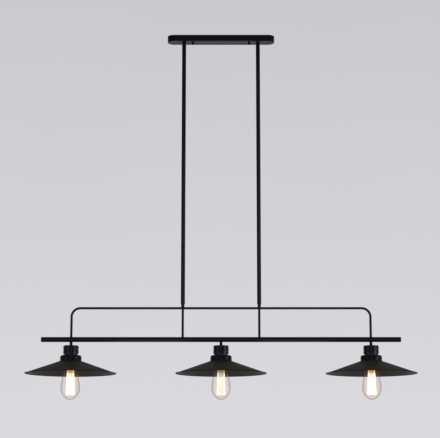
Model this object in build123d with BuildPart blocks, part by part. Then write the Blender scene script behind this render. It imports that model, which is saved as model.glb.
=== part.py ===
# Linear island pendant: an oblong ceiling canopy, two drop rods, a bowed rod frame
# welded on a round bar, and three wide metal shades over screw-base lamps.
# Origin: middle of the ceiling face. +X runs along the bar, +Z points up.
import os
from math import acos, cos, pi, sin

from build123d import *

os.makedirs("parts", exist_ok=True)

# ---------------------------------------------------------------- clearances
thread_gap = 0.05  # radial, screwed or brazed joints
pass_gap = 0.2  # radial, holes that only let a piece through
turning_gap = 0.35  # between the lamp and what it turns in

# ---------------------------------------------------------------- canopy
canopy_length = 370.0
canopy_width = 46.0
canopy_height = 22.0
canopy_wall = 1.0
canopy_edge_radius = 1.5

# ---------------------------------------------------------------- ceiling bracket
bracket_length = 215.0
bracket_width = 28.0
bracket_thickness = 2.0
bracket_flat_length = 130.0  # the middle that lies on the ceiling
bracket_step = 4.0  # how far the ends are set down, room for the stud heads
bracket_step_run = 7.0
bracket_corner_radius = 4.0
ceiling_slot_spacing = 88.9
ceiling_slot_length = 16.0
ceiling_slot_width = 5.0
cable_hole_diameter = 16.0
cable_hole_x = -18.0

# ---------------------------------------------------------------- studs and cap nuts
stud_spacing = 195.0
stud_diameter = 4.0
stud_head_diameter = 8.0
stud_head_height = 2.6
stud_tail = 5.2  # what stands out under the canopy
stud_nut_width = 7.0
stud_nut_height = 3.2
cap_nut_diameter = 9.0
cap_nut_height = 7.0
cap_nut_dome = 2.6
screw_head_fillet = 0.8
nut_chamfer = 0.25

# ---------------------------------------------------------------- drop rods
rod_spacing = 256.0
rod_diameter = 14.0
rod_bore = 10.0
rod_end_chamfer = 0.4
rod_nipple_grip = 14.0
nipple_bore = 7.0
pipe_nut_width = 14.0
pipe_nut_height = 3.0
rod_washer_diameter = 20.0
rod_washer_thickness = 1.2
nipple_tail = 2.3

# ---------------------------------------------------------------- bowed frame
bar_drop = 1054.0  # ceiling to the bar's centre line
bar_length = 1200.0
bar_diameter = 17.0
bar_wall = 1.5
bar_plug_flange = 2.0
bar_plug_depth = 8.0
bar_plug_chamfer = 0.5
bow_height = 105.0  # the bow's centre line above the bar's
bow_diameter = 8.0
bow_corner_radius = 29.0
stem_diameter = 8.0
stem_bore = 6.0
rod_end_height = 13.0  # the rod's lower end above the bow's centre line
coupler_diameter = 11.0
coupler_grip = 12.0

# ---------------------------------------------------------------- lamp heads
head_spacing = 500.0
neck_height = 12.0  # bare nipple between the bar and the cup
neck_diameter = 10.0
neck_rise = 3.5  # nipple inside the bar, above the bar's underside
cup_diameter = 51.0
cup_height = 27.5
cup_wall = 1.2
cup_edge_radius = 2.5
cup_boss_diameter = 16.0
cup_boss_height = 3.0
groove_first = 4.6  # below the cup's top
groove_pitch = 6.6
groove_count = 3
groove_radius = 0.7

# ---------------------------------------------------------------- lamp holders
holder_gap = 0.5  # lock nut to holder cap
holder_diameter = 38.0
holder_wall = 2.2
holder_cap_height = 10.3
holder_hub_diameter = 16.0
holder_hub_height = 7.3
holder_flange_diameter = 44.0
holder_flange_height = 4.5
holder_skirt_diameter = 39.5
holder_skirt_length = 32.0
holder_web = 5.0
holder_web_drop = 7.0  # underside of the web below the shade's top
seam_height = 4.5  # dark gap between the cup and the shade
terminal_block_width = 6.0
terminal_block_height = 5.0
terminal_offset = 9.0

# ---------------------------------------------------------------- lamp thread and base
thread_pitch = 3.629
thread_turns = 5
base_root_diameter = 24.1  # root of the lamp's rolled thread
shell_thread_radius = 13.0  # mean radius of the holder's rolled thread
shell_thread_swing = 0.5
shell_diameter = 28.6
shell_lead = 4.0  # plain length above the thread
contact_thickness = 0.5
contact_width = 6.0
contact_length = 14.0
contact_corner_radius = 2.0
rivet_diameter = 3.0
base_wall = 0.65
base_collar_diameter = 26.6
base_collar_height = 3.8
base_cone_height = 1.8
base_cone_taper = 45.0
base_mouth_diameter = 18.4
foot_height = 5.7
foot_taper = 2.4
foot_face_diameter = 10.4
eyelet_diameter = 9.6
eyelet_height = 1.0
eyelet_fillet = 0.6
foot_to_thread = 5.2  # lamp's tip to its first thread

# ---------------------------------------------------------------- lamp bulb
lamp_length = 140.0
glass_wall = 0.8
glass_diameter = 64.0
glass_belly_height = 38.5  # widest place above the bottom
glass_belly_radius = 40.0
glass_bottom_radius = 20.0
glass_shoulder_diameter = 45.0
glass_shoulder_height = 94.0
glass_waist_diameter = 55.6
glass_waist_height = 71.0
glass_neck_overlap = 3.0
glass_neck_lead = 1.2
mount_flare_height = 12.0
mount_tube_diameter = 7.0
mount_tube_lift = 1.5  # the tube's end above the upper button's middle
mount_rod_diameter = 3.2
mount_button_diameter = 6.0
cage_strands = 16
cage_bottom_height = 18.0  # above the bulb's bottom
cage_height = 81.0
cage_top_diameter = 22.0
cage_bottom_diameter = 27.0
cage_bend_radius = 1.6
filament_diameter = 0.9
hook_diameter = 0.6

# ---------------------------------------------------------------- shades
shade_diameter = 304.0
shade_wall = 1.0
shade_collar_diameter = 71.0
shade_collar_height = 19.0
shade_shoulder_radius = 7.0
shade_collar_root_radius = 2.5
shade_height = 61.0
shade_bead_radius = 1.1
shade_ring_diameter = 52.0
shade_ring_height = 8.0
shade_ring_fillet = 1.2
ring_notch_count = 24
ring_notch_radius = 1.0
ring_notch_height = 6.0

# ---------------------------------------------------------------- wiring
wire_diameter = 1.8
wire_spread = 1.2  # from the pipe's centre line, each way
wire_layer = 2.4  # second pair below the first
wire_drop = 8.5  # first pair below the ceiling
pole_pitch = 10.0
junction_x = 21.5
junction_length = 30.0
junction_width = 15.0
junction_height = 12.0
junction_corner_radius = 1.5
junction_bore = 3.4
clamp_screw_diameter = 3.2
clamp_screw_offset = 4.0
clamp_slot_width = 0.7
clamp_slot_depth = 0.6
wire_grip = 3.0
ground_screw_x = 5.0
ground_screw_diameter = 4.0
ground_screw_head = 7.6
ground_screw_head_height = 2.4
ground_ring_diameter = 9.6
ground_ring_thickness = 0.8
bend_in_canopy = 5.0
bend_in_bar = 6.0
bend_in_holder = 4.0
bend_gentle = 30.0

# ---------------------------------------------------------------- levels and places
canopy_floor = -canopy_height
canopy_inside = canopy_floor + canopy_wall
bracket_end_top = -bracket_step
bracket_end_bottom = bracket_end_top - bracket_thickness
stud_x = stud_spacing / 2
rod_x = rod_spacing / 2
bar_z = -bar_drop
bar_radius = bar_diameter / 2
bar_bore_radius = bar_radius - bar_wall
bar_bottom = bar_z - bar_radius
bow_z = bar_z + bow_height
bow_radius = bow_diameter / 2
stem_radius = stem_diameter / 2
rod_end = bow_z + rod_end_height
cup_top = bar_bottom - neck_height
cup_radius = cup_diameter / 2
boss_bottom = cup_top - cup_wall - cup_boss_height
holder_top = boss_bottom - pipe_nut_height - holder_gap
holder_hub_bottom = holder_top - holder_hub_height
holder_cap_bottom = holder_top - holder_cap_height
shade_top = cup_top - cup_height - seam_height
web_bottom = shade_top - holder_web_drop
web_top = web_bottom + holder_web
skirt_bottom = shade_top - holder_skirt_length
lamp_tip = web_bottom - contact_thickness - turning_gap
thread_length = thread_turns * thread_pitch
thread_top = lamp_tip - foot_to_thread
thread_bottom = thread_top - thread_length
collar_bottom = thread_bottom - base_collar_height
lamp_bottom = lamp_tip - lamp_length
heads = {"left": -head_spacing, "middle": 0.0, "right": head_spacing}


def save(builder, name):
    builder.part.label = name
    export_step(builder.part, f"parts/{name}.step")


def side_plane(x, z=0.0):
    """Vertical plane through a head or rod: local x is radial, local y is up."""
    return Plane(origin=(x, 0, z), x_dir=(1, 0, 0), z_dir=(0, -1, 0))


def upright(x):
    return Axis((x, 0, 0), (0, 0, 1))


def outer_edge(builder, level):
    """The widest round edge of a turned piece's lowest (0) or highest (-1) face."""
    rims = builder.edges().filter_by(GeomType.CIRCLE).group_by(Axis.Z)[level]
    return rims.sort_by(SortBy.RADIUS)[-1]


def ring_profile(inner, outer, bottom, top):
    """Rectangle in a side plane, from one radius to another."""
    with Locations(((inner + outer) / 2, (bottom + top) / 2)):
        Rectangle(outer - inner, top - bottom)


# ---------------------------------------------------------------- canopy and bracket
def make_canopy():
    with BuildPart() as canopy:
        with BuildSketch(Plane.XY.offset(canopy_floor)):
            SlotOverall(canopy_length, canopy_width)
        extrude(amount=canopy_height)
        fillet(canopy.faces().sort_by(Axis.Z)[0].edges(), canopy_edge_radius)
        offset(amount=-canopy_wall, openings=canopy.faces().sort_by(Axis.Z)[-1])
        with BuildSketch(Plane.XY.offset(canopy_floor)):
            with Locations((-stud_x, 0), (stud_x, 0)):
                Circle(stud_diameter / 2 + pass_gap)
            with Locations((-rod_x, 0), (rod_x, 0)):
                Circle(rod_bore / 2 + pass_gap)
        extrude(amount=canopy_wall, mode=Mode.SUBTRACT)
    return canopy


def make_bracket():
    half_flat = bracket_flat_length / 2
    half_length = bracket_length / 2
    step_end = half_flat + bracket_step_run
    with BuildPart() as bracket:
        with BuildSketch(Plane.XZ.offset(-bracket_width / 2)):
            with BuildLine():
                Polyline(
                    (-half_length, bracket_end_bottom),
                    (-half_length, bracket_end_top),
                    (-step_end, bracket_end_top),
                    (-half_flat, 0),
                    (half_flat, 0),
                    (step_end, bracket_end_top),
                    (half_length, bracket_end_top),
                    (half_length, bracket_end_bottom),
                    (step_end, bracket_end_bottom),
                    (half_flat, -bracket_thickness),
                    (-half_flat, -bracket_thickness),
                    (-step_end, bracket_end_bottom),
                    close=True,
                )
            make_face()
        extrude(amount=bracket_width)
        fillet(bracket.edges().filter_by(Axis.Z), bracket_corner_radius)
        with BuildSketch(Plane.XY):
            with Locations((-ceiling_slot_spacing / 2, 0), (ceiling_slot_spacing / 2, 0)):
                SlotOverall(ceiling_slot_length, ceiling_slot_width)
            with Locations((cable_hole_x, 0)):
                Circle(cable_hole_diameter / 2)
            with Locations((ground_screw_x, 0)):
                Circle(ground_screw_diameter / 2 + thread_gap)
            with Locations((-stud_x, 0), (stud_x, 0)):
                Circle(stud_diameter / 2 + thread_gap)
        extrude(amount=bracket_end_bottom, mode=Mode.SUBTRACT)
    return bracket


def make_studs():
    with BuildPart() as studs:
        with BuildSketch(Plane.XY.offset(bracket_end_top)):
            with Locations((-stud_x, 0), (stud_x, 0)):
                Circle(stud_head_diameter / 2)
        extrude(amount=stud_head_height)
        fillet(studs.faces().filter_by(Axis.Z).group_by(Axis.Z)[-1].edges(), screw_head_fillet)
        with BuildSketch(Plane.XY.offset(bracket_end_top)):
            with Locations((-stud_x, 0), (stud_x, 0)):
                Circle(stud_diameter / 2)
        extrude(amount=canopy_floor - stud_tail - bracket_end_top)
    return studs


def make_nuts(places, top, width, height, bore_radius):
    """Hexagon nuts of one size whose top faces lie at one level."""
    with BuildPart() as nuts:
        with BuildSketch(Plane.XY.offset(top)):
            with Locations(*[(x, 0) for x in places]):
                RegularPolygon(width / 2, 6, major_radius=False)
                Circle(bore_radius, mode=Mode.SUBTRACT)
        extrude(amount=-height)
        chamfer(
            nuts.edges().filter_by(Axis.Z, reverse=True).filter_by(GeomType.LINE),
            nut_chamfer,
        )
    return nuts


def make_cap_nuts():
    bore_depth = stud_tail + pass_gap
    with BuildPart() as cap_nuts:
        with BuildSketch(Plane.XY.offset(canopy_floor)):
            with Locations((-stud_x, 0), (stud_x, 0)):
                Circle(cap_nut_diameter / 2)
        extrude(amount=-cap_nut_height)
        fillet(cap_nuts.faces().filter_by(Axis.Z).group_by(Axis.Z)[0].edges(), cap_nut_dome)
        with BuildSketch(Plane.XY.offset(canopy_floor)):
            with Locations((-stud_x, 0), (stud_x, 0)):
                Circle(stud_diameter / 2 + thread_gap)
        extrude(amount=-bore_depth, mode=Mode.SUBTRACT)
    return cap_nuts


# ---------------------------------------------------------------- wiring in the canopy
def make_junction():
    bottom = -bracket_thickness - junction_height
    wire_levels = (-wire_drop, -wire_drop - wire_layer)
    with BuildPart() as junction:
        with BuildSketch(Plane.XY.offset(-bracket_thickness)):
            with Locations((junction_x, 0)):
                RectangleRounded(junction_width, junction_length, junction_corner_radius)
        extrude(amount=-junction_height)
        with BuildSketch(Plane.YZ.offset(junction_x - junction_width / 2)):
            with Locations(*[(y, sum(wire_levels) / 2) for y in pole_rows()]):
                SlotOverall(junction_bore + wire_layer, junction_bore, rotation=90)
        extrude(amount=junction_width, mode=Mode.SUBTRACT)
        with BuildSketch(Plane.XY.offset(bottom)):
            with Locations(*clamp_places()):
                Circle(clamp_screw_diameter / 2 + thread_gap)
        extrude(amount=junction_height / 2, mode=Mode.SUBTRACT)
    return junction


def pole_rows():
    return (-pole_pitch, 0.0, pole_pitch)


def clamp_places():
    offsets = (-clamp_screw_offset, clamp_screw_offset)
    return [(junction_x + dx, y) for y in pole_rows() for dx in offsets]


def make_clamp_screws():
    bottom = -bracket_thickness - junction_height
    tip = -wire_drop - wire_layer - wire_diameter / 2 - thread_gap
    with BuildPart() as screws:
        with BuildSketch(Plane.XY.offset(bottom)):
            with Locations(*clamp_places()):
                Circle(clamp_screw_diameter / 2)
        extrude(amount=tip - bottom)
        with BuildSketch(Plane.XY.offset(bottom)):
            with Locations(*clamp_places()):
                Rectangle(clamp_screw_diameter, clamp_slot_width)
        extrude(amount=clamp_slot_depth, mode=Mode.SUBTRACT)
    return screws


def make_ground_screw():
    seat = -bracket_thickness - ground_ring_thickness
    with BuildPart() as screw:
        with BuildSketch(Plane.XY.offset(seat)):
            with Locations((ground_screw_x, 0)):
                Circle(ground_screw_head / 2)
        extrude(amount=-ground_screw_head_height)
        fillet(screw.faces().sort_by(Axis.Z)[0].edges(), screw_head_fillet)
        with BuildSketch(Plane.XY.offset(seat)):
            with Locations((ground_screw_x, 0)):
                Circle(ground_screw_diameter / 2)
        extrude(amount=-seat)
    return screw


def round_run(points, radii, radius):
    """Section and path of a round wire or rod: straight runs joined by arcs."""
    with BuildLine() as route:
        FilletPolyline(*points, radius=radii)
    with BuildSketch(Plane(origin=route.line @ 0, z_dir=route.line % 0)) as section:
        Circle(radius)
    return section.sketch, route.line


def make_ground_wire():
    """Ring terminal under the ground screw's head, and its wire to the block."""
    face = junction_x - junction_width / 2
    ring_level = -bracket_thickness - (ground_ring_thickness + wire_diameter) / 2
    ring_edge = ground_screw_x + ground_ring_diameter / 2
    wire_end = ground_screw_x + ground_screw_head / 2 + pass_gap
    section, path = round_run(
        [
            (face + wire_grip, 0, -wire_drop),
            (face - wire_diameter / 2, 0, -wire_drop),
            (ring_edge + wire_diameter / 2, 0, ring_level),
            (wire_end, 0, ring_level),
        ],
        [wire_diameter / 2, wire_diameter / 2],
        wire_diameter / 2,
    )
    with BuildPart() as wire:
        with BuildSketch(Plane.XY.offset(-bracket_thickness)):
            with Locations((ground_screw_x, 0)):
                Circle(ground_ring_diameter / 2)
                Circle(ground_screw_diameter / 2 + thread_gap, mode=Mode.SUBTRACT)
        extrude(amount=-ground_ring_thickness)
        sweep(section, path=path)
    return wire


# ---------------------------------------------------------------- drop rods
def make_down_rod(x):
    with BuildPart() as rod:
        with BuildSketch(Plane.XY.offset(rod_end)):
            with Locations((x, 0)):
                Circle(rod_diameter / 2)
                Circle(rod_bore / 2, mode=Mode.SUBTRACT)
        extrude(amount=canopy_floor - rod_end)
        chamfer(rod.edges().filter_by(GeomType.CIRCLE).group_by(SortBy.RADIUS)[-1], rod_end_chamfer)
    return rod


def make_rod_nipples():
    top = nipple_top()
    with BuildPart() as nipples:
        with BuildSketch(Plane.XY.offset(canopy_floor - rod_nipple_grip)):
            with Locations((-rod_x, 0), (rod_x, 0)):
                Circle(rod_bore / 2 - thread_gap)
                Circle(nipple_bore / 2, mode=Mode.SUBTRACT)
        extrude(amount=top - canopy_floor + rod_nipple_grip)
    return nipples


def nipple_top():
    return canopy_inside + rod_washer_thickness + pipe_nut_height + nipple_tail


def make_rod_washers():
    with BuildPart() as washers:
        with BuildSketch(Plane.XY.offset(canopy_inside)):
            with Locations((-rod_x, 0), (rod_x, 0)):
                Circle(rod_washer_diameter / 2)
                Circle(rod_bore / 2 + pass_gap, mode=Mode.SUBTRACT)
        extrude(amount=rod_washer_thickness)
    return washers


def make_rod_couplers():
    """Turned couplers: a collar on the bow and a threaded spigot up in each rod."""
    with BuildPart() as couplers:
        with BuildSketch(Plane.XY.offset(bow_z + bow_radius + thread_gap)):
            with Locations((-rod_x, 0), (rod_x, 0)):
                Circle(coupler_diameter / 2)
        extrude(amount=rod_end_height - bow_radius - thread_gap)
        with BuildSketch(Plane.XY.offset(rod_end)):
            with Locations((-rod_x, 0), (rod_x, 0)):
                Circle(rod_bore / 2 - thread_gap)
        extrude(amount=coupler_grip)
        with BuildSketch(Plane.XY.offset(bow_z)):
            with Locations((-rod_x, 0), (rod_x, 0)):
                Circle(stem_radius + thread_gap)
        extrude(amount=rod_end_height + coupler_grip, mode=Mode.SUBTRACT)
    return couplers


# ---------------------------------------------------------------- bowed frame
def bar_outline():
    """The bar's full section at its left end, for saddle cuts."""
    with BuildSketch(Plane.YZ.offset(-bar_length / 2)) as outline:
        with Locations((0, bar_z)):
            Circle(bar_radius)
    return outline.sketch


def stem_outlines(places):
    """The stems' full sections at the bar's centre line, for saddle cuts."""
    with BuildSketch(Plane.XY.offset(bar_z)) as outlines:
        with Locations(*[(x, 0) for x in places]):
            Circle(stem_radius)
    return outlines.sketch


def make_stem(x):
    with BuildPart() as stem:
        with BuildSketch(Plane.XY.offset(bar_z)):
            with Locations((x, 0)):
                Circle(stem_radius)
                Circle(stem_bore / 2, mode=Mode.SUBTRACT)
        extrude(amount=bow_height + rod_end_height + coupler_grip)
        extrude(bar_outline(), amount=bar_length, mode=Mode.SUBTRACT)
    return stem


def make_bow_side(side):
    start = side * rod_x
    end = side * head_spacing
    section, path = round_run(
        [(start, 0, bow_z), (end, 0, bow_z), (end, 0, bar_z)],
        bow_corner_radius,
        bow_radius,
    )
    with BuildPart() as bow:
        sweep(section, path=path)
        extrude(bar_outline(), amount=bar_length, mode=Mode.SUBTRACT)
        extrude(stem_outlines([start]), amount=2 * bow_height, mode=Mode.SUBTRACT)
    return bow


def make_bow_bridge():
    with BuildPart() as bridge:
        with BuildSketch(Plane.YZ.offset(-rod_x)):
            with Locations((0, bow_z)):
                Circle(bow_radius)
        extrude(amount=rod_spacing)
        extrude(stem_outlines([-rod_x, rod_x]), amount=2 * bow_height, mode=Mode.SUBTRACT)
    return bridge


def make_crossbar():
    tube_length = bar_length - 2 * bar_plug_flange
    with BuildPart() as bar:
        with BuildSketch(Plane.YZ.offset(-tube_length / 2)):
            with Locations((0, bar_z)):
                Circle(bar_radius)
                Circle(bar_bore_radius, mode=Mode.SUBTRACT)
        extrude(amount=tube_length)
        with BuildSketch(Plane.XY.offset(bar_z)):
            with Locations((-rod_x, 0), (rod_x, 0)):
                Circle(stem_bore / 2)
        extrude(amount=bar_diameter, mode=Mode.SUBTRACT)
        with BuildSketch(Plane.XY.offset(bar_z)):
            with Locations(*[(x, 0) for x in heads.values()]):
                Circle(neck_diameter / 2 + thread_gap)
        extrude(amount=-bar_diameter, mode=Mode.SUBTRACT)
    return bar


def make_bar_end_caps():
    with BuildPart() as plugs:
        for side in (-1, 1):
            end = side * bar_length / 2
            flange = -side * bar_plug_flange
            with BuildSketch(Plane.YZ.offset(end)):
                with Locations((0, bar_z)):
                    Circle(bar_radius)
            extrude(amount=flange)
            with BuildSketch(Plane.YZ.offset(end)):
                with Locations((0, bar_z)):
                    Circle(bar_bore_radius - thread_gap)
            extrude(amount=flange - side * bar_plug_depth)
        ends = plugs.faces().filter_by(Axis.X).group_by(Axis.X)
        chamfer(ends[0].edges() + ends[-1].edges(), bar_plug_chamfer)
    return plugs


# ---------------------------------------------------------------- lamp heads
def make_socket_nipples():
    top = bar_bottom + neck_rise
    bottom = holder_hub_bottom + pass_gap
    with BuildPart() as nipples:
        with BuildSketch(Plane.XY.offset(bottom)):
            with Locations(*[(x, 0) for x in heads.values()]):
                Circle(neck_diameter / 2)
                Circle(nipple_bore / 2, mode=Mode.SUBTRACT)
        extrude(amount=top - bottom)
    return nipples


def make_cup(x):
    bottom = cup_top - cup_height
    bore = neck_diameter / 2 + thread_gap
    with BuildPart() as cup:
        with BuildSketch(side_plane(x)):
            with BuildLine():
                FilletPolyline(
                    (bore, cup_top),
                    (cup_radius, cup_top),
                    (cup_radius, bottom),
                    radius=cup_edge_radius,
                )
                Polyline(
                    (cup_radius, bottom),
                    (cup_radius - cup_wall, bottom),
                    (cup_radius - cup_wall, cup_top - cup_wall),
                    (cup_boss_diameter / 2, cup_top - cup_wall),
                    (cup_boss_diameter / 2, boss_bottom),
                    (bore, boss_bottom),
                    (bore, cup_top),
                )
            make_face()
            for turn in range(groove_count):
                with Locations((cup_radius, cup_top - groove_first - turn * groove_pitch)):
                    Circle(groove_radius, mode=Mode.SUBTRACT)
        revolve(axis=upright(x))
    return cup


def make_holder_cap(x):
    radius = holder_diameter / 2
    bore = neck_diameter / 2 + thread_gap
    with BuildPart() as cap:
        with BuildSketch(side_plane(x)):
            ring_profile(bore, radius, holder_top - holder_wall, holder_top)
            ring_profile(bore, holder_hub_diameter / 2, holder_hub_bottom, holder_top)
            ring_profile(radius - holder_wall, radius, holder_cap_bottom, holder_top)
        revolve(axis=upright(x))
        fillet(outer_edge(cap, -1), holder_wall / 2)
    return cap


def make_holder_body(x):
    radius = holder_diameter / 2
    skirt = holder_skirt_diameter / 2
    shell = shell_diameter / 2 + pass_gap
    with BuildPart() as body:
        with BuildSketch(side_plane(x)):
            ring_profile(radius - holder_wall, radius, web_bottom, holder_cap_bottom)
            ring_profile(
                radius - holder_wall,
                holder_flange_diameter / 2,
                shade_top,
                shade_top + holder_flange_height,
            )
            ring_profile(shell, skirt, skirt_bottom, shade_top)
            ring_profile(rivet_diameter / 2 + thread_gap, skirt, web_bottom, web_top)
        revolve(axis=upright(x))
    return body


def make_screw_shells():
    with BuildPart() as shells:
        with BuildSketch(Plane.XY.offset(thread_bottom)):
            with Locations(*[(x, 0) for x in heads.values()]):
                Circle(shell_diameter / 2)
        extrude(amount=thread_length + shell_lead)
        with BuildSketch(Plane.XY.offset(thread_top)):
            with Locations(*[(x, 0) for x in heads.values()]):
                Circle(shell_thread_radius + shell_thread_swing + pass_gap)
        extrude(amount=shell_lead, mode=Mode.SUBTRACT)
        for x in heads.values():
            add(rolled_thread(x, shell_thread_radius, shell_thread_swing), mode=Mode.SUBTRACT)
    return shells


def rolled_thread(x, mean_radius, swing):
    """Core of a knuckle thread: an off-centre circle that turns once in each pitch."""
    # a circle in four arcs gives four narrow faces, which mesh evenly
    quarters = [
        Edge.make_circle(mean_radius, start_angle=start, end_angle=start + 90)
        for start in (0, 90, 180, 270)
    ]
    section = Pos(x + swing, 0, thread_bottom) * Face(Wire(quarters))
    return Solid.extrude_linear_with_rotation(
        section,
        (x, 0, thread_bottom),
        (0, 0, thread_length),
        360 * thread_turns,
    )


def make_centre_contacts():
    """Leaf under each holder's web, on a rivet that comes up to the terminals."""
    with BuildPart() as contacts:
        for x in heads.values():
            with BuildSketch(Plane.XY.offset(web_bottom)):
                with Locations((x, 0)):
                    RectangleRounded(contact_length, contact_width, contact_corner_radius)
            extrude(amount=-contact_thickness)
            with BuildSketch(Plane.XY.offset(web_bottom)):
                with Locations((x, 0)):
                    Circle(rivet_diameter / 2)
            extrude(amount=holder_web)
            with BuildSketch(Plane.XY.offset(web_top)):
                with Locations((x, 0)):
                    Circle(rivet_diameter)
            extrude(amount=contact_thickness)
    return contacts


def make_holder_terminals():
    with BuildPart() as terminals:
        for x in heads.values():
            with BuildSketch(Plane.XY.offset(web_top)):
                with Locations((x, -terminal_offset), (x, terminal_offset)):
                    Rectangle(terminal_block_width, terminal_block_width)
            extrude(amount=terminal_block_height)
            with BuildSketch(Plane.XY.offset(web_top + terminal_block_height)):
                with Locations((x, -terminal_offset), (x, terminal_offset)):
                    Circle(wire_diameter / 2 + thread_gap)
            extrude(amount=-wire_grip - pass_gap, mode=Mode.SUBTRACT)
    return terminals


def make_shade(x):
    hole = holder_skirt_diameter / 2 + pass_gap
    collar = shade_collar_diameter / 2
    rim = shade_diameter / 2 - shade_bead_radius
    rim_z = shade_top - shade_height + shade_bead_radius
    with BuildPart() as shade:
        with BuildSketch(side_plane(x)):
            with BuildLine():
                FilletPolyline(
                    (hole, shade_top),
                    (collar, shade_top),
                    (collar, shade_top - shade_collar_height),
                    (rim, rim_z),
                    radius=[shade_shoulder_radius, shade_collar_root_radius],
                )
                offset(amount=shade_wall, side=Side.RIGHT)
            make_face()
            with Locations((rim, rim_z)):
                Circle(shade_bead_radius)
        revolve(axis=upright(x))
    return shade


def make_shade_ring(x):
    outer = shade_ring_diameter / 2
    inner = holder_skirt_diameter / 2 + thread_gap
    top = shade_top - shade_wall - thread_gap
    bottom = top - shade_ring_height
    with BuildPart() as ring:
        with BuildSketch(side_plane(x)):
            ring_profile(inner, outer, bottom, top)
        revolve(axis=upright(x))
        fillet(outer_edge(ring, 0), shade_ring_fillet)
        with BuildSketch(Plane.XY.offset(bottom)):
            with Locations((x, 0)):
                with PolarLocations(outer, ring_notch_count):
                    Circle(ring_notch_radius)
        extrude(amount=ring_notch_height, mode=Mode.SUBTRACT)
    return ring


def make_wires(rod_at, head_at, from_side, layer):
    """A pair of conductors: terminal block, drop rod, stem, bar, neck, lamp holder."""
    start_x = junction_x + from_side * (junction_width / 2 - wire_grip)
    level = -wire_drop - layer * wire_layer
    # two pairs share the left rod, so each keeps to its own side of the pipe
    toward_head = 1 if head_at > rod_at else -1
    pipe_x = rod_at + toward_head * wire_spread
    bar_run = bar_z + bar_bore_radius - bend_in_bar
    end_z = web_top + terminal_block_height - wire_grip
    turn_from = rod_at - from_side * (rod_x - stud_x)
    bend_high = holder_hub_bottom - wire_diameter
    bend_low = bend_high - (terminal_offset - wire_spread)
    with BuildPart() as wires:
        for y in (-1, 1):
            near = y * wire_spread
            far = y * terminal_offset
            section, path = round_run(
                [
                    (start_x, y * pole_pitch, level),
                    (turn_from, y * pole_pitch, level),
                    (pipe_x, near, level),
                    (pipe_x, near, bar_run),
                    (head_at, near, bar_run),
                    (head_at, near, bend_high),
                    (head_at, far, bend_low),
                    (head_at, far, end_z),
                ],
                [bend_gentle, bend_in_canopy, bend_in_bar, bend_in_bar]
                + [bend_in_holder, bend_in_holder],
                wire_diameter / 2,
            )
            sweep(section, path=path)
    return wires


# ---------------------------------------------------------------- lamps
def make_bulb_foot(x):
    """Centre contact of the lamp on its black glass insulator."""
    with BuildPart() as foot:
        with BuildSketch(side_plane(x)):
            face = foot_face_diameter / 2
            flank = base_mouth_diameter / 2 - turning_gap
            top = lamp_tip - eyelet_height
            with BuildLine():
                Polyline(
                    (0, top),
                    (face, top),
                    (flank, top - foot_taper),
                    (flank, lamp_tip - foot_height),
                    (0, lamp_tip - foot_height),
                    close=True,
                )
            make_face()
        revolve(axis=upright(x))
        with BuildSketch(Plane.XY.offset(top)):
            with Locations((x, 0)):
                Circle(eyelet_diameter / 2)
        extrude(amount=eyelet_height)
        fillet(foot.faces().sort_by(Axis.Z)[-1].edges(), eyelet_fillet)
    return foot


def make_bulb_cap(x):
    """Screw base: barrel at the root of the thread, collar round the glass, cone up to the foot."""
    outer = base_root_diameter / 2
    mouth = base_mouth_diameter / 2
    with BuildPart() as cap:
        with BuildSketch(Plane.XY.offset(thread_bottom)):
            with Locations((x, 0)):
                Circle(outer)
        extrude(amount=thread_length)
        with BuildSketch(Plane.XY.offset(collar_bottom)):
            with Locations((x, 0)):
                Circle(base_collar_diameter / 2)
        extrude(amount=base_collar_height)
        with BuildSketch(Plane.XY.offset(thread_top)):
            with Locations((x, 0)):
                Circle(outer - thread_gap)
        extrude(amount=base_cone_height, taper=base_cone_taper)
        with BuildSketch(side_plane(x)):
            with BuildLine():
                Polyline(
                    (0, collar_bottom),
                    (base_collar_diameter / 2 - base_wall, collar_bottom),
                    (base_collar_diameter / 2 - base_wall, thread_bottom - 2 * base_wall),
                    (outer - base_wall, thread_bottom - base_wall),
                    (outer - base_wall, thread_top - base_wall),
                    (mouth, thread_top + base_cone_height - base_wall),
                    (mouth, thread_top + base_cone_height),
                    (0, thread_top + base_cone_height),
                    close=True,
                )
            make_face()
        revolve(axis=upright(x), mode=Mode.SUBTRACT)
    return cap


def glass_neck_radius():
    return base_collar_diameter / 2 - base_wall - thread_gap


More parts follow.
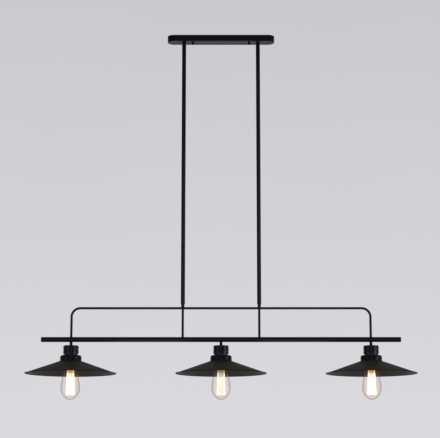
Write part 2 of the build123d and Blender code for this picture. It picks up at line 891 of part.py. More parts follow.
def glass_body(x, inset):
    """Solid of the bulb's outline, drawn in by a wall thickness."""
    belly_z = lamp_bottom + glass_belly_height
    neck = glass_neck_radius() - inset
    neck_end = collar_bottom - glass_neck_lead
    belly = glass_diameter / 2 - inset
    belly_radius = glass_belly_radius - inset
    bottom_radius = glass_bottom_radius - inset
    offset_in = glass_belly_radius - glass_diameter / 2
    turn = acos(offset_in / (glass_belly_radius - glass_bottom_radius))
    centre_z = belly_z - (glass_belly_radius - glass_bottom_radius) * sin(turn)
    joint = (bottom_radius * cos(turn), centre_z - bottom_radius * sin(turn))
    middle = turn / 2
    lower = (pi / 2 + turn) / 2
    with BuildPart(mode=Mode.PRIVATE) as body:
        with BuildSketch(side_plane(x)):
            with BuildLine():
                Line((neck, neck_end + glass_neck_overlap), (neck, neck_end))
                Spline(
                    (neck, neck_end),
                    (glass_shoulder_diameter / 2 - inset, lamp_bottom + glass_shoulder_height),
                    (glass_waist_diameter / 2 - inset, lamp_bottom + glass_waist_height),
                    (belly, belly_z),
                    tangents=[(0, -1), (0, -1)],
                )
                ThreePointArc(
                    (belly, belly_z),
                    (
                        belly_radius * cos(middle) - offset_in,
                        belly_z - belly_radius * sin(middle),
                    ),
                    joint,
                )
                ThreePointArc(
                    joint,
                    (bottom_radius * cos(lower), centre_z - bottom_radius * sin(lower)),
                    (0, centre_z - bottom_radius),
                )
                Polyline(
                    (0, centre_z - bottom_radius),
                    (0, neck_end + glass_neck_overlap),
                    (neck, neck_end + glass_neck_overlap),
                )
            make_face()
        revolve(axis=upright(x))
    return body.part


def make_bulb_glass(x):
    with BuildPart() as glass:
        add(glass_body(x, 0.0))
        add(glass_body(x, glass_wall), mode=Mode.SUBTRACT)
    return glass


def cage_levels():
    bottom = lamp_bottom + cage_bottom_height
    return bottom, bottom + cage_height


def make_bulb_mount(x):
    """Glass stem: flare sealed in the neck, tube, and a rod with two buttons."""
    flare = glass_neck_radius() - glass_wall - thread_gap
    flare_top = collar_bottom + glass_neck_overlap - glass_neck_lead
    tube = mount_tube_diameter / 2
    bottom, top = cage_levels()
    tube_bottom = top + mount_tube_lift
    with BuildPart() as mount:
        with BuildSketch(side_plane(x)):
            with BuildLine():
                Polyline(
                    (0, flare_top),
                    (flare, flare_top),
                    (flare, flare_top - glass_wall),
                    (tube, flare_top - mount_flare_height),
                    (tube, tube_bottom),
                    (0, tube_bottom),
                    close=True,
                )
            make_face()
            ring_profile(0, mount_rod_diameter / 2, bottom, tube_bottom)
        revolve(axis=upright(x))
        with Locations((x, 0, bottom), (x, 0, top)):
            Sphere(mount_button_diameter / 2)
    return mount


def cage_point(x, strand, level, radius):
    angle = 2 * pi * (strand + 0.5) / cage_strands
    return (x + radius * cos(angle), radius * sin(angle), level)


def make_filament(x):
    """One wire zigzagged round the cage, its hooks, and its two lead wires."""
    bottom, top = cage_levels()
    top_radius = cage_top_diameter / 2
    bottom_radius = cage_bottom_diameter / 2
    points = []
    for strand in range(cage_strands):
        ends = [
            cage_point(x, strand, top, top_radius),
            cage_point(x, strand, bottom, bottom_radius),
        ]
        points += ends if strand % 2 == 0 else ends[::-1]
    section, path = round_run(points, cage_bend_radius, filament_diameter / 2)
    # hooks hold the bends at mid-chord; the two lead wires hold the zigzag's ends
    chord = cos(pi / cage_strands)
    step = 2 * pi / cage_strands
    holds = [(0.5 * step, top, top_radius), (-0.5 * step, top, top_radius)]
    for bend in range(1, cage_strands):
        low = bend % 2 == 1
        radius = bottom_radius if low else top_radius
        holds.append((bend * step, bottom if low else top, radius * chord))
    with BuildPart() as filament:
        sweep(section, path=path)
        for angle, level, reach in holds:
            direction = Vector(cos(angle), sin(angle), 0)
            start = Vector(x, 0, level) + direction * (mount_button_diameter / 2)
            with BuildSketch(Plane(origin=start, z_dir=direction)):
                Circle(hook_diameter / 2)
            length = reach - (mount_button_diameter + filament_diameter) / 2 - thread_gap
            extrude(amount=length)
    return filament


# ---------------------------------------------------------------- build and save
save(make_canopy(), "canopy")
save(make_bracket(), "mounting_bracket")
save(make_studs(), "bracket_studs")
save(
    make_nuts(
        (-stud_x, stud_x),
        bracket_end_bottom,
        stud_nut_width,
        stud_nut_height,
        stud_diameter / 2 + thread_gap,
    ),
    "stud_nuts",
)
save(make_cap_nuts(), "canopy_cap_nuts")
save(make_junction(), "terminal_block")
save(make_clamp_screws(), "terminal_screws")
save(make_ground_screw(), "ground_screw")
save(make_ground_wire(), "ground_wire")
save(make_rod_nipples(), "rod_nipples")
save(make_rod_washers(), "rod_washers")
save(
    make_nuts(
        (-rod_x, rod_x),
        canopy_inside + rod_washer_thickness + pipe_nut_height,
        pipe_nut_width,
        pipe_nut_height,
        rod_bore / 2,
    ),
    "rod_lock_nuts",
)
save(make_down_rod(-rod_x), "down_rod_left")
save(make_down_rod(rod_x), "down_rod_right")
save(make_rod_couplers(), "rod_couplers")
save(make_stem(-rod_x), "stem_left")
save(make_stem(rod_x), "stem_right")
save(make_bow_side(-1), "bow_left")
save(make_bow_side(1), "bow_right")
save(make_bow_bridge(), "bow_bridge")
save(make_crossbar(), "crossbar")
save(make_bar_end_caps(), "bar_end_caps")
save(make_socket_nipples(), "socket_nipples")
save(
    make_nuts(
        tuple(heads.values()),
        boss_bottom,
        pipe_nut_width,
        pipe_nut_height,
        neck_diameter / 2 + thread_gap,
    ),
    "socket_lock_nuts",
)
save(make_screw_shells(), "screw_shells")
save(make_centre_contacts(), "centre_contacts")
save(make_holder_terminals(), "holder_terminals")
for side, head_x in heads.items():
    save(make_cup(head_x), f"socket_cup_{side}")
    save(make_holder_cap(head_x), f"holder_cap_{side}")
    save(make_holder_body(head_x), f"lamp_holder_{side}")
    save(make_shade(head_x), f"shade_{side}")
    save(make_shade_ring(head_x), f"shade_ring_{side}")
    save(make_bulb_foot(head_x), f"bulb_foot_{side}")
    save(make_bulb_cap(head_x), f"bulb_cap_{side}")
    save(make_bulb_glass(head_x), f"bulb_glass_{side}")
    save(make_bulb_mount(head_x), f"bulb_mount_{side}")
    save(make_filament(head_x), f"filament_{side}")
save(make_wires(-rod_x, heads["left"], -1, 0), "wires_left")
save(make_wires(-rod_x, heads["middle"], -1, 1), "wires_middle")
save(make_wires(rod_x, heads["right"], 1, 0), "wires_right")
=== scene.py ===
import math
import random

import bpy
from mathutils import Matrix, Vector


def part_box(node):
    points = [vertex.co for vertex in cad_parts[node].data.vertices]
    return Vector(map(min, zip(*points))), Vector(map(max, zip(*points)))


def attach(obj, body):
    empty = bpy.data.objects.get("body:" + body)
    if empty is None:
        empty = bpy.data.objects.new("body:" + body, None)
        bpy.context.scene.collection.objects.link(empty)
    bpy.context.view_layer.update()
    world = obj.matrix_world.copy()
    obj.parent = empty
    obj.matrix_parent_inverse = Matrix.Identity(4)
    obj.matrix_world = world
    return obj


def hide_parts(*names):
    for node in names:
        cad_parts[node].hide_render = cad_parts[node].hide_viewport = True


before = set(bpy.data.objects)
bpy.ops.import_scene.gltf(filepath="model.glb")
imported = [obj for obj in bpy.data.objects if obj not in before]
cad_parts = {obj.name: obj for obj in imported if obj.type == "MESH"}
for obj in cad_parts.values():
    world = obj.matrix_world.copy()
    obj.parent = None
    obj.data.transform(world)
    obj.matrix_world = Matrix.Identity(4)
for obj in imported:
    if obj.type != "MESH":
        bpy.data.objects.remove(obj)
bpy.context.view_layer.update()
random.seed(7)

MM = 0.001
HEADS = {"left": -0.5, "middle": 0.0, "right": 0.5}
ROD_X = 0.128
BAR_Z = -1.054
BAR_RADIUS = 8.5 * MM
BOW_Z = -0.949
BOW_RADIUS = 4 * MM
STEM_RADIUS = 4 * MM
FLOOR_Z = -2.6

# heights and distances from a head's axis where a finish changes, from and to
COLLAR_Z = (-1.1256, -1.1250)  # the shade's cone ends and its collar begins
BEAD_REACH = (0.1478, 0.1486)  # the shade's rolled edge begins
CONTACT_Z = (-1.11545, -1.11535)  # the lamp foot's insulator ends and its contact begins
SHADED_GLASS_Z = (-1.178, -1.164)  # the bulb's neck goes up into the shade
COOL_WIRE_Z = (-1.172, -1.160)  # the filament's colour turns towards its hooks
DIM_WIRE_Z = (-1.172, -1.158)  # the filament grows dimmer towards its hooks
FILAMENT_Z = -1.195


# ---------------------------------------------------------------- node helpers
def new_material(name):
    material = bpy.data.materials.new(name)
    material.use_nodes = True
    return material, material.node_tree.nodes, material.node_tree.links


def node(nodes, kind, **values):
    made = nodes.new(kind)
    for key, value in values.items():
        setattr(made, key, value)
    return made


def object_point(nodes):
    return node(nodes, "ShaderNodeTexCoord").outputs["Object"]


def math_node(nodes, links, operation, *inputs):
    """A Math node; inputs are sockets or numbers."""
    made = node(nodes, "ShaderNodeMath", operation=operation)
    for index, value in enumerate(inputs):
        if isinstance(value, (int, float)):
            made.inputs[index].default_value = value
        else:
            links.new(value, made.inputs[index])
    return made.outputs[0]


def noise(nodes, links, vector, scale, detail=3.0, roughness=0.55):
    made = node(nodes, "ShaderNodeTexNoise")
    made.inputs["Scale"].default_value = scale
    made.inputs["Detail"].default_value = detail
    made.inputs["Roughness"].default_value = roughness
    links.new(vector, made.inputs["Vector"])
    return made.outputs["Fac"]


def remap(nodes, links, value, low, high, to_low, to_high, smooth=False):
    made = node(nodes, "ShaderNodeMapRange")
    if smooth:
        made.interpolation_type = "SMOOTHSTEP"
    for key, number in (
        ("From Min", low),
        ("From Max", high),
        ("To Min", to_low),
        ("To Max", to_high),
    ):
        made.inputs[key].default_value = number
    links.new(value, made.inputs["Value"])
    return made.outputs["Result"]


def blend_colours(nodes, links, factor, first, second):
    """Mix of two colours; each is a socket or an RGB tuple."""
    made = node(nodes, "ShaderNodeMix", data_type="RGBA")
    links.new(factor, made.inputs["Factor"])
    for socket, colour in ((made.inputs[6], first), (made.inputs[7], second)):
        if isinstance(colour, tuple):
            socket.default_value = (*colour, 1)
        else:
            links.new(colour, socket)
    return made.outputs[2]


def bump(nodes, links, height, distance, normal=None):
    made = node(nodes, "ShaderNodeBump")
    made.inputs["Distance"].default_value = distance
    links.new(height, made.inputs["Height"])
    if normal is not None:
        links.new(normal, made.inputs["Normal"])
    return made.outputs["Normal"]


def separated(nodes, links, vector):
    """The X, Y and Z outputs of a vector socket."""
    split = node(nodes, "ShaderNodeSeparateXYZ")
    links.new(vector, split.inputs[0])
    return split.outputs


def height(nodes, links):
    return separated(nodes, links, object_point(nodes))["Z"]


def axis_distance(nodes, links):
    """Distance from the nearest head's upright axis."""
    place = separated(nodes, links, object_point(nodes))
    half = HEADS["right"] / 2
    local_x = math_node(nodes, links, "WRAP", place["X"], -half, half)
    squares = [math_node(nodes, links, "MULTIPLY", part, part) for part in (local_x, place["Y"])]
    return math_node(nodes, links, "SQRT", math_node(nodes, links, "ADD", *squares))


def upwardness(nodes, links):
    """Z of the surface's normal: 1 faces up, -1 faces down."""
    return separated(nodes, links, node(nodes, "ShaderNodeNewGeometry").outputs["Normal"])["Z"]


# ---------------------------------------------------------------- materials
def coated(name, colour, rough, specular=0.3, grain=1400.0, depth=0.012, dust=0.35):
    """Baked powder or enamel coat: fine orange peel, cloudy gloss, dust on what faces up."""
    material, nodes, links = new_material(name)
    shader = nodes["Principled BSDF"]
    point = object_point(nodes)
    cloud = noise(nodes, links, point, 38.0, 4.0)
    peel = noise(nodes, links, point, grain, 2.0)
    dark = tuple(c * 0.8 for c in colour)
    light = tuple(c * 1.25 for c in colour)
    base = blend_colours(nodes, links, cloud, dark, light)
    settled = remap(nodes, links, upwardness(nodes, links), 0.6, 1.0, 0.0, dust, smooth=True)
    specks = remap(nodes, links, noise(nodes, links, point, 260.0, 5.0), 0.45, 0.75, 0.0, 1.0)
    amount = math_node(nodes, links, "MULTIPLY", settled, specks)
    powder = tuple(min(1.0, c * 1.5 + 0.03) for c in colour)
    base = blend_colours(nodes, links, amount, base, powder)
    links.new(base, shader.inputs["Base Color"])
    gloss = remap(nodes, links, cloud, 0.3, 0.7, rough - 0.05, rough + 0.07)
    links.new(gloss, shader.inputs["Roughness"])
    links.new(bump(nodes, links, peel, depth * MM), shader.inputs["Normal"])
    shader.inputs["Specular IOR Level"].default_value = specular
    return material


def bare_metal(name, colour, rough, grain=500.0, tarnish=0.3, stretch=(1.0, 1.0, 0.12)):
    """Turned or drawn metal: tool lines, darker in patches where it has tarnished."""
    material, nodes, links = new_material(name)
    shader = nodes["Principled BSDF"]
    point = object_point(nodes)
    squeeze = node(nodes, "ShaderNodeMapping")
    squeeze.inputs["Scale"].default_value = stretch
    links.new(point, squeeze.inputs["Vector"])
    lines = noise(nodes, links, squeeze.outputs["Vector"], grain * 4, 2.0)
    patches = noise(nodes, links, point, grain * 0.4, 5.0, 0.65)
    stain = remap(nodes, links, patches, 0.45, 0.7, 0.0, tarnish, smooth=True)
    dull = tuple(c * 0.45 for c in colour)
    base = blend_colours(nodes, links, stain, colour, dull)
    links.new(base, shader.inputs["Base Color"])
    shader.inputs["Metallic"].default_value = 1.0
    gloss = remap(nodes, links, patches, 0.3, 0.75, rough - 0.08, rough + 0.15)
    links.new(gloss, shader.inputs["Roughness"])
    links.new(bump(nodes, links, lines, 0.01 * MM), shader.inputs["Normal"])
    return material


def moulded(name, colour, rough, specular=0.5):
    """Moulded plastic or phenolic: faint flow marks and a fine matt skin."""
    material, nodes, links = new_material(name)
    shader = nodes["Principled BSDF"]
    point = object_point(nodes)
    flow = noise(nodes, links, point, 120.0, 3.0, 0.7)
    skin = noise(nodes, links, point, 2600.0, 2.0)
    dark = tuple(c * 0.85 for c in colour)
    light = tuple(min(1.0, c * 1.15) for c in colour)
    base = blend_colours(nodes, links, flow, dark, light)
    links.new(base, shader.inputs["Base Color"])
    gloss = remap(nodes, links, flow, 0.3, 0.7, rough - 0.05, rough + 0.05)
    links.new(gloss, shader.inputs["Roughness"])
    links.new(bump(nodes, links, skin, 0.006 * MM), shader.inputs["Normal"])
    shader.inputs["Specular IOR Level"].default_value = specular
    return material


def spun_enamel(name):
    """Shade finish: dark brown-black enamel over spun sheet, with fine turning rings; the inside
    and the rolled edge are painted darker as painted shade.
    """
    material, nodes, links = new_material(name)
    shader = nodes["Principled BSDF"]
    point = object_point(nodes)
    radius = axis_distance(nodes, links)
    rings = node(nodes, "ShaderNodeTexNoise", noise_dimensions="1D")
    rings.inputs["Scale"].default_value = 650.0
    rings.inputs["Detail"].default_value = 2.0
    links.new(radius, rings.inputs["W"])
    broad = node(nodes, "ShaderNodeTexNoise", noise_dimensions="1D")
    broad.inputs["Scale"].default_value = 60.0
    links.new(radius, broad.inputs["W"])
    cloud = noise(nodes, links, point, 22.0, 4.0)
    outside = remap(nodes, links, upwardness(nodes, links), -0.1, 0.1, 0.0, 1.0)
    collar = remap(nodes, links, height(nodes, links), *COLLAR_Z, 0.0, 1.0)
    bead = remap(nodes, links, radius, *BEAD_REACH, 0.0, 1.0)
    # the inside coat is the outside's brown at about a third of its brightness: painted shade on
    # the shade's underside
    inner = blend_colours(nodes, links, cloud, (0.0062, 0.0044, 0.0034), (0.0115, 0.0082, 0.0064))
    outer = blend_colours(nodes, links, cloud, (0.0175, 0.0118, 0.0064), (0.0290, 0.0200, 0.0112))
    base = blend_colours(nodes, links, outside, inner, outer)
    base = blend_colours(nodes, links, collar, base, (0.005, 0.005, 0.006))
    # the rolled edge is painted near-black: painted shade where the bead is shadowed
    base = blend_colours(nodes, links, bead, base, (0.0015, 0.0015, 0.0015))
    links.new(base, shader.inputs["Base Color"])
    gloss = remap(nodes, links, broad.outputs["Fac"], 0.3, 0.7, 0.42, 0.55)
    polish = math_node(nodes, links, "MULTIPLY", collar, 0.18)
    links.new(math_node(nodes, links, "SUBTRACT", gloss, polish), shader.inputs["Roughness"])
    shine = remap(nodes, links, outside, 0.0, 1.0, 0.08, 0.20)
    dulled = math_node(nodes, links, "MULTIPLY", bead, 0.07)
    shine = math_node(nodes, links, "SUBTRACT", shine, dulled)
    links.new(shine, shader.inputs["Specular IOR Level"])
    peel = noise(nodes, links, point, 1200.0, 2.0)
    first = bump(nodes, links, rings.outputs["Fac"], 0.03 * MM)
    second = bump(nodes, links, peel, 0.01 * MM, first)
    links.new(second, shader.inputs["Normal"])
    return material


def clear_glass(name):
    """Blown lamp glass: a clear film with an amber cast, darker and glossier seen edge on, and a
    faint painted glow of the filament's light.
    """
    material, nodes, links = new_material(name)
    shader = nodes["Principled BSDF"]
    point = object_point(nodes)
    wave = noise(nodes, links, point, 30.0, 1.0)
    haze = noise(nodes, links, point, 240.0, 4.0)
    tint = blend_colours(nodes, links, haze, (0.012, 0.009, 0.007), (0.022, 0.017, 0.013))
    links.new(tint, shader.inputs["Base Color"])
    gloss = remap(nodes, links, haze, 0.35, 0.75, 0.02, 0.08)
    links.new(gloss, shader.inputs["Roughness"])
    links.new(bump(nodes, links, wave, 0.02 * MM), shader.inputs["Normal"])
    shader.inputs["IOR"].default_value = 1.45
    edge = node(nodes, "ShaderNodeLayerWeight")
    edge.inputs["Blend"].default_value = 0.5
    edge_on = math_node(nodes, links, "POWER", edge.outputs["Facing"], 3.0)
    # the wall is thin, so most light goes straight through it
    through = node(nodes, "ShaderNodeBsdfTransparent")
    cast = blend_colours(nodes, links, edge_on, (1.0, 0.982, 0.962), (0.88, 0.82, 0.78))
    links.new(cast, through.inputs["Color"])
    # a weak warm emission over the whole wall is painted glow, the filament's light painted into
    # the glass; up in the shade the neck mirrors less of the room and its painted glow is weaker
    # and redder
    rise = height(nodes, links)
    shaded = remap(nodes, links, rise, *SHADED_GLASS_Z, 0.0, 1.0, smooth=True)
    glow = node(nodes, "ShaderNodeEmission")
    painted_glow_tint = blend_colours(nodes, links, shaded, (1.0, 0.66, 0.40), (1.0, 0.34, 0.14))
    links.new(painted_glow_tint, glow.inputs["Color"])
    links.new(remap(nodes, links, shaded, 0.0, 1.0, 0.020, 0.007), glow.inputs["Strength"])
    warm = node(nodes, "ShaderNodeAddShader")
    links.new(through.outputs[0], warm.inputs[0])
    links.new(glow.outputs[0], warm.inputs[1])
    wall = node(nodes, "ShaderNodeMixShader")
    glassy = remap(nodes, links, edge_on, 0.0, 1.0, 0.012, 0.34)
    bare = remap(nodes, links, shaded, 0.0, 1.0, 1.0, 0.45)
    glassy = math_node(nodes, links, "MULTIPLY", glassy, bare)
    links.new(glassy, wall.inputs["Fac"])
    links.new(warm.outputs[0], wall.inputs[1])
    links.new(shader.outputs[0], wall.inputs[2])
    # light from the filament passes the glass straight, so the shade is lit without noise
    path = node(nodes, "ShaderNodeLightPath")
    unseen = node(nodes, "ShaderNodeBsdfTransparent")
    unseen.inputs["Color"].default_value = (1.0, 0.95, 0.88, 1)
    choose = node(nodes, "ShaderNodeMixShader")
    indirect = (path.outputs["Is Shadow Ray"], path.outputs["Is Diffuse Ray"])
    links.new(math_node(nodes, links, "MAXIMUM", *indirect), choose.inputs["Fac"])
    links.new(wall.outputs[0], choose.inputs[1])
    links.new(unseen.outputs[0], choose.inputs[2])
    links.new(choose.outputs[0], nodes["Material Output"].inputs["Surface"])
    return material


def glowing_wire(name):
    """Carbon filament: white hot along the strands, dimmer where the hooks cool its bends."""
    material, nodes, links = new_material(name)
    shader = nodes["Principled BSDF"]
    z = height(nodes, links)
    coil = noise(nodes, links, object_point(nodes), 900.0, 2.0)
    shader.inputs["Roughness"].default_value = 0.6
    links.new(
        blend_colours(nodes, links, coil, (0.05, 0.04, 0.035), (0.11, 0.08, 0.06)),
        shader.inputs["Base Color"],
    )
    rise = remap(nodes, links, z, *COOL_WIRE_Z, 0.0, 1.0, smooth=True)
    heat = blend_colours(nodes, links, rise, (0.97, 1.0, 0.78), (1.0, 0.60, 0.26))
    links.new(heat, shader.inputs["Emission Color"])
    power = remap(nodes, links, z, *DIM_WIRE_Z, 2.15, 0.8, smooth=True)
    power = math_node(nodes, links, "MULTIPLY", power, remap(nodes, links, coil, 0, 1, 0.8, 1.2))
    links.new(power, shader.inputs["Emission Strength"])
    return material


def insulated(name, colour):
    """Flexible silicone wire: soft sheen and slight scuffs."""
    material, nodes, links = new_material(name)
    shader = nodes["Principled BSDF"]
    point = object_point(nodes)
    scuff = noise(nodes, links, point, 300.0, 5.0, 0.7)
    dark = tuple(c * 0.75 for c in colour)
    links.new(blend_colours(nodes, links, scuff, dark, colour), shader.inputs["Base Color"])
    links.new(remap(nodes, links, scuff, 0.3, 0.7, 0.38, 0.6), shader.inputs["Roughness"])
    return material


def lamp_foot(name):
    """Black glass insulator with a tinned contact on top, told apart by height."""
    material, nodes, links = new_material(name)
    shader = nodes["Principled BSDF"]
    grime = noise(nodes, links, object_point(nodes), 700.0, 4.0)
    contact = remap(nodes, links, height(nodes, links), *CONTACT_Z, 0.0, 1.0)
    tin = blend_colours(nodes, links, grime, (0.62, 0.60, 0.56), (0.40, 0.38, 0.35))
    insulator = blend_colours(nodes, links, grime, (0.010, 0.010, 0.012), (0.03, 0.03, 0.034))
    links.new(
        blend_colours(nodes, links, contact, insulator, tin), shader.inputs["Base Color"]
    )
    links.new(contact, shader.inputs["Metallic"])
    links.new(remap(nodes, links, grime, 0.3, 0.7, 0.18, 0.42), shader.inputs["Roughness"])
    links.new(bump(nodes, links, grime, 0.02 * MM), shader.inputs["Normal"])
    return material


BLACK = (0.003, 0.003, 0.004)
frame_paint = coated("frame_paint", BLACK, 0.28, specular=0.3)
canopy_paint = coated("canopy_paint", BLACK, 0.36, specular=0.15)
cup_paint = coated("cup_paint", (0.004, 0.004, 0.0055), 0.26, specular=0.34)
shade_enamel = spun_enamel("shade_enamel")
phenolic = moulded("black_phenolic", (0.012, 0.011, 0.011), 0.32)
nylon = moulded("white_nylon", (0.72, 0.70, 0.65), 0.45)
zinc = bare_metal("zinc_plate", (0.58, 0.59, 0.60), 0.34, tarnish=0.35)
brass = bare_metal("brass", (0.72, 0.50, 0.20), 0.28, tarnish=0.35)
lamp_brass = bare_metal("lamp_brass", (0.70, 0.52, 0.24), 0.26, tarnish=0.45)
dark_steel = bare_metal("black_oxide", (0.06, 0.06, 0.065), 0.4, tarnish=0.4)
glass = clear_glass("lamp_glass")
filament_glow = glowing_wire("filament_glow")
wire_dark = insulated("wire_jacket_dark", (0.02, 0.02, 0.022))
wire_green = insulated("wire_jacket_green", (0.03, 0.22, 0.06))
foot_finish = lamp_foot("lamp_foot")
mount_glass = clear_glass("mount_glass")

FINISHES = {
    "canopy": canopy_paint,
    "mounting_bracket": zinc,
    "bracket_studs": zinc,
    "stud_nuts": zinc,
    "canopy_cap_nuts": frame_paint,
    "terminal_block": nylon,
    "terminal_screws": brass,
    "ground_screw": brass,
    "ground_wire": wire_green,
    "rod_nipples": zinc,
    "rod_washers": zinc,
    "rod_lock_nuts": zinc,
    "down_rod": frame_paint,
    "rod_couplers": frame_paint,
    "stem": frame_paint,
    "bow": frame_paint,
    "crossbar": frame_paint,
    "bar_end_caps": frame_paint,
    "socket_nipples": dark_steel,
    "socket_lock_nuts": zinc,
    "screw_shells": brass,
    "centre_contacts": brass,
    "holder_terminals": brass,
    "socket_cup": cup_paint,
    "holder_cap": phenolic,
    "lamp_holder": phenolic,
    "shade_ring": phenolic,
    "shade": shade_enamel,
    "bulb_foot": foot_finish,
    "bulb_cap": lamp_brass,
    "bulb_glass": glass,
    "bulb_mount": mount_glass,
    "filament": filament_glow,
    "wires": wire_dark,
}


def finish_for(name):
    """The longest matching name wins, so shade_ring isn't taken for shade."""
    keys = [key for key in FINISHES if name == key or name.startswith(key + "_")]
    return FINISHES[max(keys, key=len)]


for name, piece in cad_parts.items():
    piece.data.materials.clear()
    piece.data.materials.append(finish_for(name))


# ---------------------------------------------------------------- mesh helpers
def mesh_piece(name, points, faces, material, body="fixture", sharp=35.0):
    mesh = bpy.data.meshes.new(name)
    mesh.from_pydata([tuple(p) for p in points], [], faces)
    mesh.validate()
    mesh.materials.append(material)
    mesh.shade_smooth()
    mesh.set_sharp_from_angle(angle=math.radians(sharp))
    piece = bpy.data.objects.new(name, mesh)
    bpy.context.scene.collection.objects.link(piece)
    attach(piece, body)
    return piece


def ring_faces(rings, sides):
    """Quads between each ring of points and the next, and from the last back to the first."""
    faces = []
    for low in range(rings):
        high = (low + 1) % rings
        for k in range(sides):
            after = (k + 1) % sides
            corners = ((low, k), (low, after), (high, after), (high, k))
            faces.append(tuple(ring * sides + place for ring, place in corners))
    return faces


def turns(sides):
    """The angles of evenly spaced points round a circle."""
    return [2 * math.pi * k / sides for k in range(sides)]


def on_axis(x, reach, angle, z):
    """A point at that reach and angle round the upright axis at x."""
    return Vector((x + reach * math.cos(angle), reach * math.sin(angle), z))


def closed_tube(path, radii, sides):
    """Points and faces of a round tube along a closed path, with one radius for each point."""
    count = len(path)
    points = []
    side = None
    for i, here in enumerate(path):
        ahead = (path[(i + 1) % count] - path[i - 1]).normalized()
        if side is None:
            reference = Vector((0, 0, 1)) if abs(ahead.z) < 0.9 else Vector((1, 0, 0))
            side = ahead.cross(reference).normalized()
        side = (side - ahead * side.dot(ahead)).normalized()
        across = ahead.cross(side)
        for angle in turns(sides):
            reach = side * math.cos(angle) + across * math.sin(angle)
            points.append(here + reach * radii[i])
    return points, ring_faces(count, sides)


def joined(parts):
    """One point and face list from several."""
    points, faces = [], []
    for some_points, some_faces in parts:
        start = len(points)
        points += some_points
        faces += [tuple(i + start for i in face) for face in some_faces]
    return points, faces


# ---------------------------------------------------------------- welds
BAR_BEAD = 0.75 * MM
BOW_BEAD = 0.6 * MM


def weld_bead(curve, radius, steps=96, ripples=26):
    """Closed bead along a curve of one turn, with the ripples a welder leaves."""
    path = [curve(turn) for turn in turns(steps)]
    radii = [
        radius * (1 + 0.10 * math.sin(ripples * turn + random.uniform(0, 0.4)))
        for turn in turns(steps)
    ]
    return closed_tube(path, radii, 8)


def bar_saddle(x, reach):
    """Where an upright tube of that radius meets the top of the bar."""

    def curve(turn):
        across = reach * math.sin(turn)
        up = math.sqrt(BAR_RADIUS**2 - across**2)
        return Vector((x + reach * math.cos(turn), across, BAR_Z + up))

    return curve


def stem_saddle(x, side):
    """Where the bow's rod meets one side of a stem of the same size."""

    def curve(turn):
        outward = side * STEM_RADIUS * abs(math.cos(turn))
        up = BOW_RADIUS * math.cos(turn)
        return Vector((x + outward, STEM_RADIUS * math.sin(turn), BOW_Z + up))

    return curve


def make_welds():
    parts = []
    for x in (HEADS["left"], HEADS["right"]):
        parts.append(weld_bead(bar_saddle(x, BOW_RADIUS), BAR_BEAD))
    for x in (-ROD_X, ROD_X):
        parts.append(weld_bead(bar_saddle(x, STEM_RADIUS), BAR_BEAD))
        for side in (-1, 1):
            parts.append(weld_bead(stem_saddle(x, side), BOW_BEAD))
    points, faces = joined(parts)
    mesh_piece("frame_welds", points, faces, frame_paint)


make_welds()


# ---------------------------------------------------------------- threaded necks
NECK_OUTER = 5.0 * MM
NECK_BORE = 3.5 * MM
NECK_PITCH = 1.0 * MM
NECK_THREAD_DEPTH = 0.45 * MM


def threaded_tube(x, bottom, top, sides=48, per_pitch=6):
    """Tube with a real helical thread outside and a plain bore."""
    rows = round((top - bottom) / NECK_PITCH * per_pitch)
    points = []
    for row in range(rows + 1):
        z = bottom + (top - bottom) * row / rows
        fade = min(1.0, row / per_pitch, (rows - row) / per_pitch)
        for angle in turns(sides):
            crest = 0.5 - 0.5 * math.cos(2 * math.pi * z / NECK_PITCH - angle)
            reach = NECK_OUTER - NECK_THREAD_DEPTH * (1 - fade * crest)
            points.append(on_axis(x, reach, angle, z))
    for z in (top, bottom):
        points += [on_axis(x, NECK_BORE, angle, z) for angle in turns(sides)]
    return points, ring_faces(rows + 3, sides)


def make_necks():
    low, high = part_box("socket_nipples")
    points, faces = joined([threaded_tube(x, low.z, high.z) for x in HEADS.values()])
    neck = mesh_piece("neck_threads", points, faces, dark_steel, sharp=60)
    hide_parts("socket_nipples")


make_necks()


# ---------------------------------------------------------------- lamp base threads
THREAD_BOTTOM = -1.137695
THREAD_PITCH = 3.629 * MM
THREAD_TURNS = 5
ROOT_RADIUS = 12.05 * MM
ROLLED_RADIUS = 12.575 * MM
ROLLED_SWING = 0.525 * MM
SLEEVE_WALL = 0.3 * MM


def rolled_reach(angle, up):
    """Radius of a knuckle thread: an off-centre circle that turns once in each pitch."""
    turn = angle - 2 * math.pi * up / THREAD_PITCH
    sideways = ROLLED_SWING * math.sin(turn)
    return ROLLED_SWING * math.cos(turn) + math.sqrt(ROLLED_RADIUS**2 - sideways**2)


def rolled_sleeve(x, sides=64, per_pitch=20):
    """Thin sleeve round the lamp base that carries its rolled thread."""
    rows = THREAD_TURNS * per_pitch
    points = []
    for row in range(rows + 1):
        up = THREAD_PITCH * row / per_pitch
        fade = min(1.0, 2 * row / per_pitch, 2 * (rows - row) / per_pitch)
        for angle in turns(sides):
            reach = ROOT_RADIUS + fade * (rolled_reach(angle, up) - ROOT_RADIUS)
            points.append(on_axis(x, reach, angle, THREAD_BOTTOM + up))
    inner = ROOT_RADIUS - SLEEVE_WALL
    for up in (THREAD_TURNS * THREAD_PITCH, 0):
        points += [on_axis(x, inner, angle, THREAD_BOTTOM + up) for angle in turns(sides)]
    return points, ring_faces(rows + 3, sides)


def make_base_threads():
    for side, x in HEADS.items():
        points, faces = rolled_sleeve(x)
        mesh_piece(
            f"base_thread_{side}",
            points,
            faces,
            lamp_brass,
            body=f"bulb_{side}",
            sharp=60,
        )


make_base_threads()


# ---------------------------------------------------------------- stage
BACK_LOW = (0.705, 0.698, 0.735)
BACK_HIGH = (0.590, 0.584, 0.620)
LIT_MIDDLE = Vector((0, 0, -0.95))


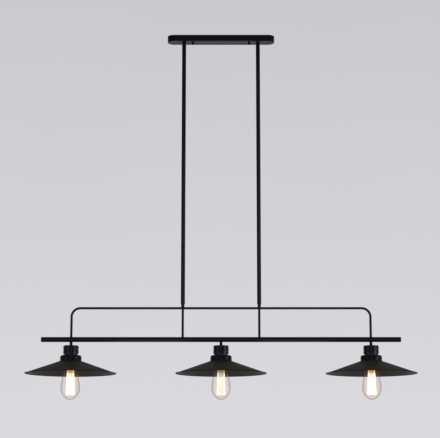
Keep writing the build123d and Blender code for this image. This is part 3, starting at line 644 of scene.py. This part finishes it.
def make_world():
    """Pale lavender backdrop for the camera, gloss and glass, and an even light for the rest."""
    world = bpy.data.worlds.new("studio")
    bpy.context.scene.world = world
    world.use_nodes = True
    nodes, links = world.node_tree.nodes, world.node_tree.links
    nodes.clear()
    output = node(nodes, "ShaderNodeOutputWorld")
    direction = node(nodes, "ShaderNodeTexCoord").outputs["Generated"]
    split = separated(nodes, links, direction)
    fall = remap(nodes, links, split["Z"], 0.03, 0.34, 0.0, 1.0)
    cloud = remap(nodes, links, noise(nodes, links, direction, 9.0, 2.0), 0.3, 0.7, -0.03, 0.03)
    fall = math_node(nodes, links, "ADD", fall, cloud)
    back = blend_colours(nodes, links, fall, BACK_LOW, BACK_HIGH)
    seen = node(nodes, "ShaderNodeBackground")
    links.new(back, seen.inputs["Color"])
    # gloss sees the backdrop behind the pendant and a dimmer room in front of it
    front = remap(nodes, links, split["Y"], -0.5, 0.8, 0.04, 0.36, smooth=True)
    mirrored = node(nodes, "ShaderNodeBackground")
    links.new(back, mirrored.inputs["Color"])
    links.new(front, mirrored.inputs["Strength"])
    lit = node(nodes, "ShaderNodeBackground")
    lit.inputs["Color"].default_value = (0.97, 0.97, 1.0, 1)
    lit.inputs["Strength"].default_value = 0.5
    path = node(nodes, "ShaderNodeLightPath")
    straight = (path.outputs["Is Camera Ray"], path.outputs["Is Transmission Ray"])
    direct = math_node(nodes, links, "MAXIMUM", *straight)
    first = node(nodes, "ShaderNodeMixShader")
    links.new(path.outputs["Is Glossy Ray"], first.inputs["Fac"])
    links.new(lit.outputs[0], first.inputs[1])
    links.new(mirrored.outputs[0], first.inputs[2])
    second = node(nodes, "ShaderNodeMixShader")
    links.new(direct, second.inputs["Fac"])
    links.new(first.outputs[0], second.inputs[1])
    links.new(seen.outputs[0], second.inputs[2])
    links.new(second.outputs[0], output.inputs["Surface"])


def make_floor():
    """Pale floor that fades into the backdrop far from the pendant."""
    steps, reach = 96, 40.0
    points = [tuple(on_axis(0, reach, angle, FLOOR_Z)) for angle in turns(steps)]
    mesh = bpy.data.meshes.new("floor")
    mesh.from_pydata(points, [], [tuple(range(steps))])
    material, nodes, links = new_material("pale_floor")
    shader = nodes["Principled BSDF"]
    point = object_point(nodes)
    grain = noise(nodes, links, point, 6.0, 5.0)
    links.new(
        blend_colours(nodes, links, grain, (0.30, 0.298, 0.315), (0.34, 0.338, 0.356)),
        shader.inputs["Base Color"],
    )
    shader.inputs["Roughness"].default_value = 0.9
    shader.inputs["Specular IOR Level"].default_value = 0.1
    shader.inputs["Emission Color"].default_value = (*BACK_LOW, 1)
    shader.inputs["Emission Strength"].default_value = 0.68
    away = node(nodes, "ShaderNodeVectorMath", operation="LENGTH")
    links.new(point, away.inputs[0])
    fade = remap(nodes, links, away.outputs["Value"], 3.0, 12.0, 0.0, 1.0, smooth=True)
    far = node(nodes, "ShaderNodeEmission")
    far.inputs["Color"].default_value = (*BACK_LOW, 1)
    mix = node(nodes, "ShaderNodeMixShader")
    links.new(fade, mix.inputs["Fac"])
    links.new(shader.outputs[0], mix.inputs[1])
    links.new(far.outputs[0], mix.inputs[2])
    # a view from below the floor looks through it
    below = node(nodes, "ShaderNodeMixShader")
    links.new(node(nodes, "ShaderNodeNewGeometry").outputs["Backfacing"], below.inputs["Fac"])
    links.new(mix.outputs[0], below.inputs[1])
    links.new(node(nodes, "ShaderNodeBsdfTransparent").outputs[0], below.inputs[2])
    links.new(below.outputs[0], nodes["Material Output"].inputs["Surface"])
    mesh.materials.append(material)
    floor = bpy.data.objects.new("floor", mesh)
    bpy.context.scene.collection.objects.link(floor)


def softbox(name, place, wide, tall, watts):
    """Rectangular light that faces the middle of the pendant."""
    data = bpy.data.lights.new(name, "AREA")
    data.shape = "RECTANGLE"
    data.size = wide
    data.size_y = tall
    data.energy = watts
    light = bpy.data.objects.new(name, data)
    light.location = place
    light.rotation_euler = (LIT_MIDDLE - Vector(place)).to_track_quat("-Z", "Y").to_euler()
    light.visible_camera = False
    bpy.context.scene.collection.objects.link(light)


def make_lights():
    softbox("softbox_left", (-2.9, -2.3, -0.8), 1.1, 2.2, 7)
    softbox("softbox_right", (3.3, -1.35, -0.8), 2.0, 2.2, 26)
    softbox("softbox_front", (0, -5.2, 0.35), 3.2, 1.3, 14)
    softbox("softbox_top", (0, 0.6, 2.6), 2.5, 2.5, 12)


def make_lamp_glow():
    """Warm light of each lit lamp, so the shade above it is lit from the filament."""
    for side, x in HEADS.items():
        data = bpy.data.lights.new(f"lamp_glow_{side}", "POINT")
        data.energy = 0.5
        data.color = (1.0, 0.42, 0.16)
        data.shadow_soft_size = 0.012
        light = bpy.data.objects.new(f"lamp_glow_{side}", data)
        light.location = (x, 0, FILAMENT_Z)
        light.visible_camera = False
        light.visible_glossy = False
        light.visible_transmission = False
        bpy.context.scene.collection.objects.link(light)


def make_camera():
    """Stands a little below the lamps and looks up, as in the photograph."""
    data = bpy.data.cameras.new("camera")
    data.sensor_fit = "HORIZONTAL"
    data.sensor_width = 36.0
    data.lens = 111.44
    data.clip_end = 100.0
    camera = bpy.data.objects.new("camera", data)
    camera.location = (-0.0034, -4.541, -1.497)
    camera.rotation_euler = (math.radians(90 + 10.63), 0, 0)
    bpy.context.scene.collection.objects.link(camera)
    bpy.context.scene.camera = camera


make_world()
make_floor()
make_lights()
make_lamp_glow()
make_camera()
bpy.context.scene.view_settings.view_transform = "Standard"
